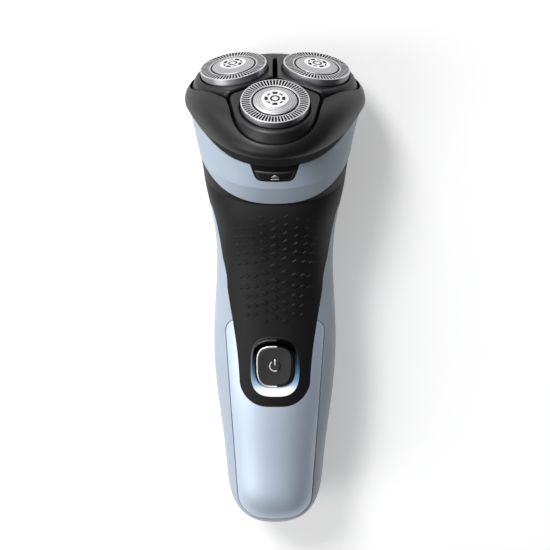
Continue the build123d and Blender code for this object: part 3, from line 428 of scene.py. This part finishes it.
# %% Finishes on the CAD pieces
FINISHES = {
    blue_abs: ("body_shell", "collar", "chamber_base"),
    blue_pearl: ("front_panel",),
    rubber_grip: ("grip",),
    shell_abs: ("head_shell",),
    # The release button's near-black finish is painted shade under the lip.
    matt_shade_black_abs: ("release_button",),
    black_abs: ("pod_carrier", "latch_tongue", "yoke_front", "yoke_right", "yoke_left", "inner_frame", "push_switch",
                "socket_housing", "motor_cap"),
    light_guide: ("light_ring",),
    steel_plain: ("board_screws", "gear_axles", "motor_can", "motor_shaft", "pivot_pins", "head_screws"),
    # The cutters' near-black steel is painted shade inside the guards.
    steel_painted_shade: ("cutter_front", "cutter_right", "cutter_left"),
    nickel: ("battery_tabs", "socket_pins"),
    bronze: ("motor_bush",),
    ferrite: ("motor_magnets", "motor_core"),
    inner["acetal_moulded_white"]: ("gear_plate", "motor_pinion", "drive_front", "drive_right", "drive_left"),
    inner["acetal_moulded_grey"]: ("cutter_hub_front", "cutter_hub_right", "cutter_hub_left"),
    inner["silicone_moulded_grey"]: ("button_seal", "chamber_gasket", "shaft_seals"),
    inner["epoxy_glass_board_green"]: ("circuit_board",),
    inner["pvc_shrink_film_blue"]: ("battery_cell",),
    inner["polycarbonate_lens_clear"]: ("indicator_leds",),
}
for material, names in FINISHES.items():
    for name in names:
        nodes[name].data.materials.clear()
        nodes[name].data.materials.append(material)
print("CAD pieces finished:", sum(len(names) for names in FINISHES.values()))

# %% [markdown]
# ## Meshes from rings
# Pods, buttons and rings are all closed outlines that change a little from level to level. One helper joins such
# outlines with quads, and another makes the object, gives it its finish and tells the frame which body carries it.

# %% Helpers for new pieces
def loft(rings, closed=False):
    """Vertices and faces through rings of equal counts; closed joins the last to the first, else both are capped."""
    count = len(rings[0])
    vertices = [point for ring in rings for point in ring]
    faces = []
    for level in range(len(rings) if closed else len(rings) - 1):
        low = level * count
        high = (level + 1) % len(rings) * count
        for i in range(count):
            j = (i + 1) % count
            faces.append((low + i, low + j, high + j, high + i))
    if not closed:
        faces.append(tuple(reversed(range(count))))
        faces.append(tuple(range(len(vertices) - count, len(vertices))))
    return vertices, faces


def new_piece(name, vertices, faces, finish, body, slot, place=None, sharp=30, thickness=0):
    """A smooth mesh, in millimetres about its own place, that rides on a CAD body; a sheet can be given a thickness."""
    mesh = bpy.data.meshes.new(name)
    mesh.from_pydata([Vector(v) * MM for v in vertices], [], faces)
    mesh.validate()
    mesh.shade_smooth()
    mesh.set_sharp_from_angle(angle=math.radians(sharp))
    for material in finish if isinstance(finish, (list, tuple)) else [finish]:
        mesh.materials.append(material)
    piece = bpy.data.objects.new(name, mesh)
    scene.collection.objects.link(piece)
    if place:
        piece.matrix_world = place
    if thickness:
        solid = piece.modifiers.new("thickness", "SOLIDIFY")
        solid.thickness = thickness * MM
    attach(piece, body)
    return piece


def pod_place(name):
    """A pod's own frame: x outwards, y round the head, z along the guard's axis, zero at the guard's rim."""
    spin = joints["cutter_spin_" + name]
    axis = Vector(spin["axis"]).normalized()
    tangent = Vector(joints["pod_tilt_" + name]["axis"]).normalized()
    turn = Matrix((tangent.cross(axis), tangent, axis)).transposed().to_4x4()
    turn.translation = Vector(spin["pos_m"])
    return turn


print("pod axes:", [[round(c, 3) for c in pod_place(name).col[2][:3]] for name in HEADS])

# %% [markdown]
# ## Guards
# Each guard is a thin steel cap with 60 slits that let hair in, a groove, a turned cone and a polished disc with
# stamped marks. The plate is drawn on a polar grid, five cells to a slit and its land: a cell is either steel or open,
# and walls go up wherever steel meets an opening. That keeps every slit a real opening with the cutter behind it. The
# slit walls, the floors of the marks, the groove and the inside of the side wall are near-black steel as painted shade,
# and the outside of the side wall is tinted darker as painted shade.

# %% Guards
GUARD_RADIUS = 11.0
GUARD_DEPTH = 4.6
SKIN = 0.5
CROWN = 0.9
STEPS = 300
SLIT_CELLS, OPEN_CELLS = 5, 3
SLIT_IN, SLIT_OUT = 7.95, 10.58
HUB_IN, HUB_OUT = 1.0, 1.55
WINDOW_IN, WINDOW_OUT, WINDOW_HALF = 2.25, 3.3, 17
DASH_IN, DASH_OUT, DASH_FROM = 2.55, 3.05, 31
DISC, CONE, GROOVE = 4.35, 6.9, 7.5
MARK_DEPTH = 0.35
GROUND, SPUN, POLISHED, SHADE_BLACK, WALL_SHADE = range(5)
GUARD_STEELS = [steel_ground, steel_spun, steel_polished, steel_painted_shade, steel_wall_shade]
PROFILE = (
    (0.0, CROWN), (HUB_IN, CROWN), (HUB_OUT, CROWN), (WINDOW_IN, CROWN), (DASH_IN, CROWN), (2.8, CROWN),
    (DASH_OUT, CROWN), (WINDOW_OUT, CROWN), (4.2, CROWN), (DISC, CROWN - 0.06), (4.6, CROWN - 0.2), (5.4, 0.56),
    (6.2, 0.31), (6.85, 0.1), (6.95, 0.0), (7.05, -0.35), (GROOVE, -0.35), (7.56, -0.06), (7.66, 0.0),
    (SLIT_IN, 0.0), (SLIT_OUT, 0.0), (10.75, 0.0),
)


def is_steel(radius, step):
    """Whether the cell from this radius outwards, at this step, is steel."""
    quarter = abs(((step + 0.5) * 360 / STEPS + 45) % 90 - 45)
    if SLIT_IN <= radius < SLIT_OUT:
        return step % SLIT_CELLS >= OPEN_CELLS
    if HUB_IN <= radius < HUB_OUT:
        return False
    if WINDOW_IN <= radius < WINDOW_OUT and quarter < WINDOW_HALF:
        return False
    return not (DASH_IN <= radius < DASH_OUT and quarter > DASH_FROM)


def guard_mesh():
    """Vertices, faces and each face's finish, about the guard's own axis."""
    vertices = []
    faces = []
    finishes = []
    floors = {}
    last = len(PROFILE) - 2

    def add_ring(radius, height):
        first = len(vertices)
        for step in range(STEPS):
            a = 2 * math.pi * step / STEPS
            vertices.append((radius * math.cos(a), radius * math.sin(a), height))
        return range(first, first + STEPS)

    def put(face, finish):
        faces.append(face)
        finishes.append(finish)

    def floor_of(k):
        """The point on the floor of a stamped mark, under a point of the disc's top."""
        if k not in floors:
            x, y, z = vertices[k]
            floors[k] = len(vertices)
            vertices.append((x, y, z - MARK_DEPTH))
        return floors[k]

    top = [None] + [add_ring(radius, height) for radius, height in PROFILE[1:]]
    under = [None] + [add_ring(radius, height - SKIN) for radius, height in PROFILE[1:-1]]
    below = under[1][0] - top[1][0]
    for level in range(1, last + 1):
        radius = PROFILE[level][0]
        on_disc = radius < DISC
        finish = POLISHED if on_disc else SPUN if radius < CONE else SHADE_BLACK if radius < GROOVE else GROUND
        for step in range(STEPS):
            after = (step + 1) % STEPS
            a, b, c, d = top[level][step], top[level][after], top[level + 1][after], top[level + 1][step]
            steel = is_steel(radius, step)
            if level < last and (steel or on_disc):
                put((a + below, b + below, c + below, d + below), finish)
            if not steel:
                if on_disc:
                    put(tuple(floor_of(k) for k in (a, d, c, b)), SHADE_BLACK)
                continue
            put((a, d, c, b), finish)
            sides = (
                (level > 1 and not is_steel(PROFILE[level - 1][0], step), a, b),
                (level < last and not is_steel(PROFILE[level + 1][0], step), c, d),
                (not is_steel(radius, (step - 1) % STEPS), d, a),
                (not is_steel(radius, after), b, c),
            )
            for is_open, p, q in sides:
                if is_open and on_disc:
                    put((p, q, floor_of(q), floor_of(p)), SHADE_BLACK)
                elif is_open:
                    put((p, q, q + below, p + below), SHADE_BLACK)
    centre = len(vertices)
    vertices += [(0, 0, CROWN), (0, 0, CROWN - SKIN)]
    for step in range(STEPS):
        a, b = top[1][step], top[1][(step + 1) % STEPS]
        put((centre, a, b), POLISHED)
        put((b, a, floor_of(a), floor_of(b)), SHADE_BLACK)
        put((centre + 1, b + below, a + below), POLISHED)
    rim = [(add_ring(10.92, -0.06), GROUND), (add_ring(GUARD_RADIUS, -0.2), GROUND),
           (add_ring(GUARD_RADIUS, -GUARD_DEPTH), WALL_SHADE), (add_ring(SLIT_OUT, -GUARD_DEPTH), WALL_SHADE),
           (under[last], SHADE_BLACK)]
    previous = top[last + 1]
    for ring, finish in rim:
        for step in range(STEPS):
            after = (step + 1) % STEPS
            put((previous[step], ring[step], ring[after], previous[after]), finish)
        previous = ring
    return vertices, faces, finishes


guard_vertices, guard_faces, guard_finishes = guard_mesh()
for name in HEADS:
    guard = new_piece("slotted_guard_" + name, guard_vertices, guard_faces, GUARD_STEELS, "guard_" + name,
                      "guard_steel", pod_place(name))
    guard.data.polygons.foreach_set("material_index", guard_finishes)
    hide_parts("guard_" + name)
print("guard faces:", len(guard_faces))

# %% [markdown]
# ## Pods
# The pods are black mouldings with soft edges. Seen along the guard's axis, a pod is a round lobe whose sides run on
# to two corners, cut by the two gaps to its neighbours. The outline is worked out as a radius for each angle, which
# makes it easy to draw in, lift and round over, ring by ring.

# %% Pods
PITCH = 15.762
DISH = math.radians(9.4)
POD_GAP = 1.3
POD_HOLE = 11.3
POD_TOP, POD_FLOOR = -2.2, -7.0
POD_STEPS = 240
EDGE = 0.9
LOBE_FLOOR, LOBE_DRAW = 15.2, 2.5
CORNER_REACH, CORNER_DRAW = 2.7, 1.6
SOFTNESS = 30
RIB_RADIUS = 12.4
RIB_TOP = -3.5
SIXTH = math.pi / 3


def pod_radius(angle, height, inset):
    """Distance from the guard's axis to the pod's side, in from the outline by the inset."""
    rise = (height - POD_FLOOR) / (POD_TOP - POD_FLOOR)
    lobe = LOBE_FLOOR - LOBE_DRAW * rise
    corner = PITCH + CORNER_REACH - CORNER_DRAW * rise
    corner_x = corner * 0.5 - PITCH
    corner_y = corner * math.sin(SIXTH)
    theta = abs(math.atan2(math.sin(angle), math.cos(angle)))
    touch = math.atan2(corner_y, corner_x) - math.acos(lobe / math.hypot(corner_x, corner_y))
    sides = []
    if theta <= touch:
        sides.append(lobe - inset)
    elif theta - touch < 1.4:
        sides.append((lobe - inset) / math.cos(theta - touch))
    sides.append((corner_y - inset) / max(math.sin(theta), 1e-4))
    slope = math.sin(theta) - math.tan(SIXTH) * math.cos(DISH) * math.cos(theta)
    if slope > 0.05:
        apex = POD_GAP / 2 / math.sin(SIXTH)
        cut = math.tan(SIXTH) * (PITCH - apex + height * math.sin(DISH)) - 2 * inset
        sides.append(cut / slope)
    return sum(side ** -SOFTNESS for side in sides) ** (-1 / SOFTNESS)


def pod_ring(height, inset):
    ring = []
    for i in range(POD_STEPS):
        angle = 2 * math.pi * i / POD_STEPS
        radius = pod_radius(angle, height, inset)
        ring.append((radius * math.cos(angle), radius * math.sin(angle), height))
    return ring


def round_ring(radius, height):
    angles = [2 * math.pi * i / POD_STEPS for i in range(POD_STEPS)]
    return [(radius * math.cos(a), radius * math.sin(a), height) for a in angles]


pod_rings = [pod_ring(POD_FLOOR, 0.3), pod_ring(POD_FLOOR + 0.3, 0.0), pod_ring(-5.0, 0.0), pod_ring(-4.0, 0.0)]
for i in range(7):
    turn = math.pi / 2 * i / 6
    pod_rings.append(pod_ring(POD_TOP - EDGE + EDGE * math.sin(turn), EDGE - EDGE * math.cos(turn)))
pod_rings += [round_ring(POD_HOLE + 0.3, POD_TOP - 0.05), round_ring(POD_HOLE + 0.08, POD_TOP - 0.13),
              round_ring(POD_HOLE, POD_TOP - 0.35), round_ring(POD_HOLE, RIB_TOP + 0.1),
              round_ring(RIB_RADIUS, RIB_TOP), round_ring(RIB_RADIUS, POD_FLOOR)]
pod_vertices, pod_faces = loft(pod_rings, closed=True)
for name in HEADS:
    pod = new_piece("soft_edged_pod_" + name, pod_vertices, pod_faces, black_abs, "pod_" + name, "black_plastic",
                    pod_place(name), sharp=50)
    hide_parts("pod_" + name)
print("pod rings:", len(pod_rings), "of", POD_STEPS)

# %% [markdown]
# ## Power button
# The button is a soft square with a slightly hollow top for the thumb and a rounded ring round it. The power sign on
# top has the ring's chrome finish, with the same painted reflection on the left and painted black on the right.

# %% Power button
TAPER = 0.035
SQUARENESS = 3.2
SQUARE_STEPS = 160


def soft_square(width, length, y, z):
    """A superellipse that is a little narrower at its foot."""
    ring = []
    for i in range(SQUARE_STEPS):
        c = math.cos(2 * math.pi * i / SQUARE_STEPS)
        s = math.sin(2 * math.pi * i / SQUARE_STEPS)
        up = math.copysign(abs(s) ** (2 / SQUARENESS), s)
        x = width / 2 * math.copysign(abs(c) ** (2 / SQUARENESS), c) * (1 - TAPER * (1 - up))
        ring.append((x, y + length / 2 * up, z))
    return ring


low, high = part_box("button_ring")
ring_width = (high.x - low.x) / MM
ring_length = (high.y - low.y) / MM
button_y = (high.y + low.y) / 2 / MM
ring_base, ring_top = low.z / MM, high.z / MM
RING_WALL = 0.55
RING_ROUND = 0.38
rings = []
for i in range(13):
    turn = math.pi * i / 12
    grow = -RING_WALL + RING_WALL * math.cos(turn)
    level = ring_top - RING_ROUND + RING_ROUND * math.sin(turn)
    rings.append(soft_square(ring_width + grow, ring_length + grow, button_y, level))
rings.insert(0, soft_square(ring_width, ring_length, button_y, ring_base))
cap_width, cap_length = ring_width - 2 * RING_WALL, ring_length - 2 * RING_WALL
rings.append(soft_square(cap_width, cap_length, button_y, ring_base))
# The ring's finish carries a painted reflection and painted shade.
chrome_ring = new_piece("chrome_button_ring", *loft(rings, closed=True), chrome, "power_button", "chrome_trim",
                        sharp=60)
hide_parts("button_ring")

cap_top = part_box("power_button")[1].z / MM
CAP_EDGE = 0.35
HOLLOW = 0.25
rings = [soft_square(cap_width, cap_length, button_y, ring_base)]
for i in range(5):
    turn = math.pi / 2 * i / 4
    shrink = 2 * CAP_EDGE * (1 - math.cos(turn))
    level = cap_top - CAP_EDGE + CAP_EDGE * math.sin(turn)
    rings.append(soft_square(cap_width - shrink, cap_length - shrink, button_y, level))
for share in (0.85, 0.7, 0.5, 0.3, 0.12, 0.02):
    rings.append(soft_square(cap_width * share, cap_length * share, button_y, cap_top - HOLLOW * (1 - share ** 2)))
cap = new_piece("hollow_power_button", *loft(rings), button_abs, "power_button", "black_gloss", sharp=60)
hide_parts("power_button")
print("button", round(cap_width, 2), "by", round(cap_length, 2), "mm")

# %% [markdown]
# ## Signs
# The power sign and the eject sign are general signs. A print follows the surface, so each point of the flat drawing
# is dropped on to the piece below with a ray and lifted by the print's thickness. Each stroke is cut across as well
# as along, so that it also follows a face that curves across it. The release button first gets its raised thumb pad,
# whose upper edge catches the light.

# %% Signs
INK = 0.04
CUTS = 8


def surface_of(piece):
    mesh = piece.data
    return BVHTree.FromPolygons([v.co for v in mesh.vertices], [tuple(p.vertices) for p in mesh.polygons])


def strip(points, half_width):
    """Left and right points beside a line, for a stroke of even width."""
    sides = []
    for i, point in enumerate(points):
        ahead = Vector(points[min(i + 1, len(points) - 1)]) - Vector(points[max(i - 1, 0)])
        across = Vector((-ahead.y, ahead.x)).normalized() * half_width
        sides.append((Vector(point) + across, Vector(point) - across))
    return sides


def printed(name, strokes, drop, finish, body, slot):
    """Strokes of a flat drawing, each a list of left and right points, printed where the drop function puts them."""
    vertices = []
    faces = []
    for stroke in strokes:
        first = len(vertices)
        for left, right in stroke:
            vertices += [drop(left.lerp(right, cut / CUTS)) for cut in range(CUTS + 1)]
        for i in range(len(stroke) - 1):
            for cut in range(CUTS):
                k = first + i * (CUTS + 1) + cut
                faces.append((k, k + 1, k + CUTS + 2, k + CUTS + 1))
    return new_piece(name, vertices, faces, finish, body, slot, thickness=1.5 * INK)


cap_surface = surface_of(cap)


def drop_on_cap(point):
    start = Vector((point.x, button_y + point.y, cap_top + 5)) * MM
    hit = cap_surface.ray_cast(start, Vector((0, 0, -1)))[0]
    return hit / MM + Vector((0, 0, INK))


SIGN_RADIUS = 1.75
SIGN_STROKE = 0.2
SIGN_RISE = 0.15
ARC_OPEN = 38
BAR_TOP, BAR_LENGTH = 2.55, 2.4
arc = [math.radians(90 + ARC_OPEN + (360 - 2 * ARC_OPEN) * i / 40) for i in range(41)]
arc_points = [(SIGN_RADIUS * math.cos(a), SIGN_RADIUS * math.sin(a) + SIGN_RISE) for a in arc]
bar_points = [(0, BAR_TOP - BAR_LENGTH * i / 4) for i in range(5)]
# The power sign takes the ring's finish: a painted reflection on its left and painted black on its right.
printed("power_sign", [strip(arc_points, SIGN_STROKE), strip(bar_points, SIGN_STROKE)], drop_on_cap, chrome,
        "power_button", "chrome_trim")

low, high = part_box("release_button")
release_middle = (low + high) / 2
PARTING = math.radians(22)
UP = Vector((0, math.cos(PARTING), math.sin(PARTING)))
OUT = Vector((0, -math.sin(PARTING), math.cos(PARTING)))


def drop_on_release(point, surface, lift):
    start = release_middle + Vector((point.x, 0, 0)) * MM + UP * point.y * MM + OUT * 20 * MM
    hit = surface.ray_cast(start, -OUT)[0]
    return hit / MM + OUT * lift


PAD_FOOT, PAD_HEAD = -2.55, 0.75
PAD_FOOT_HALF, PAD_HEAD_HALF = 5.5, 6.75
PAD_LIFT, PAD_SUNK = 0.4, 0.03
PAD_SIDE_EDGE, PAD_END_EDGE = 0.07, 0.12
PAD_SHARES = (0.0, 0.03, 0.07, 0.12, 0.25, 0.4, 0.5, 0.6, 0.75, 0.88, 0.93, 0.97, 1.0)
button_surface = surface_of(nodes["release_button"])
pad_points = []
for v in PAD_SHARES:
    for u in PAD_SHARES:
        half = PAD_FOOT_HALF + (PAD_HEAD_HALF - PAD_FOOT_HALF) * v
        rise = min(1.0, min(u, 1 - u) / PAD_SIDE_EDGE, min(v, 1 - v) / PAD_END_EDGE)
        point = Vector(((2 * u - 1) * half, PAD_FOOT + (PAD_HEAD - PAD_FOOT) * v))
        pad_points.append(drop_on_release(point, button_surface, PAD_LIFT * rise - PAD_SUNK))
side = len(PAD_SHARES)
pad_faces = [(k, k + 1, k + side + 1, k + side) for k in range(side * (side - 1)) if k % side < side - 1]
pad = new_piece("release_thumb_pad", pad_points, pad_faces, black_abs, "release_button", "black_plastic", sharp=60,
                thickness=PAD_LIFT)
pad_surface = surface_of(pad)

SIGN_Y = -1.25
SIGN_HALF = 1.35
SIGN_HEIGHT = 1.15
BAR_GAP, BAR_WIDTH = 0.5, 0.36


def level_cut(half, y):
    return Vector((-half, y)), Vector((half, y))


triangle = [level_cut(SIGN_HALF * (1 - s), SIGN_Y + SIGN_HEIGHT * s) for s in (0, 0.25, 0.5, 0.75, 0.98)]
bar = [level_cut(SIGN_HALF, SIGN_Y - BAR_GAP - BAR_WIDTH * s) for s in (1, 0)]
printed("eject_sign", [triangle, bar], lambda point: drop_on_release(point, pad_surface, INK), silver_print,
        "release_button", "chrome_trim")
print("signs printed on the power and release buttons")

# %% [markdown]
# ## Raised diamonds on the grip
# The soft grip has a field of small raised diamonds, larger where the thumb rests and fainter towards the collar and
# the sides. The middle column sits half a step off its neighbours, and the columns sag a little towards the sides.
# Each diamond is a low block with four sloping sides whose corners are dropped on to the grip.

# %% Raised diamonds on the grip
COLUMN_X = (0.0, 3.5, 6.75, 9.6, 11.9)
COLUMN_SAG = (0.0, 0.0, 1.1, 1.55, 2.1)
COLUMN_ROWS = (11, 12, 11, 11, 8)
MIDDLE_ROWS = (32.2, 29.35, 26.44, 23.56, 20.67, 16.57, 11.57, 8.56, 5.4, 2.3, -1.1)
SIDE_ROWS = (33.74, 30.88, 28.0, 25.15, 22.2, 18.98, 14.35, 10.58, 7.25, 3.92, 0.96, -2.4)
THUMB_ROW, THUMB_REACH = 15.5, 5.0
HALF_X, THUMB_X = 1.55, 0.6
HALF_Y, THUMB_Y = 1.05, 0.08
HEIGHT = 0.36
TOP_SHARE = 0.66
SUNK = 0.04
grip_surface = surface_of(nodes["grip"])


def on_grip(x, y, lift):
    hit, normal, *_ = grip_surface.ray_cast(Vector((x, y, 100)) * MM, Vector((0, 0, -1)))
    return hit / MM + normal * lift


vertices = []
faces = []
for column in range(-4, 5):
    place = abs(column)
    rows = SIDE_ROWS if column else MIDDLE_ROWS
    for row_y in rows[:COLUMN_ROWS[place]]:
        y = row_y - COLUMN_SAG[place]
        thumb = math.exp(-((y - THUMB_ROW) / THUMB_REACH) ** 2)
        run = (SIDE_ROWS[0] - y) / (SIDE_ROWS[0] - SIDE_ROWS[-1])
        x = math.copysign(COLUMN_X[place], column) * (1.16 - 0.2 * min(1.0, run * 1.6))
        size = (1 - 0.05 * place) * min(1.0, 1.4 - 0.5 * run)
        height = HEIGHT * min(1.0, 0.3 + run * 2.2) * (1 - 0.1 * place)
        half_x = (HALF_X + THUMB_X * thumb * max(0.0, 1 - 0.4 * place)) * size
        half_y = (HALF_Y + THUMB_Y * thumb) * size
        corners = ((half_x, 0), (0, half_y), (-half_x, 0), (0, -half_y))
        k = len(vertices)
        vertices += [on_grip(x + dx, y + dy, -SUNK) for dx, dy in corners]
        vertices += [on_grip(x + dx * TOP_SHARE, y + dy * TOP_SHARE, height) for dx, dy in corners]
        faces += [(k + i, k + (i + 1) % 4, k + 4 + (i + 1) % 4, k + 4 + i) for i in range(4)]
        faces += [(k + 4, k + 5, k + 6, k + 7), (k + 3, k + 2, k + 1, k)]
new_piece("grip_diamonds", vertices, faces, rubber_grip, "handle", "black_rubber", sharp=20)
print("diamonds:", len(faces) // 6)
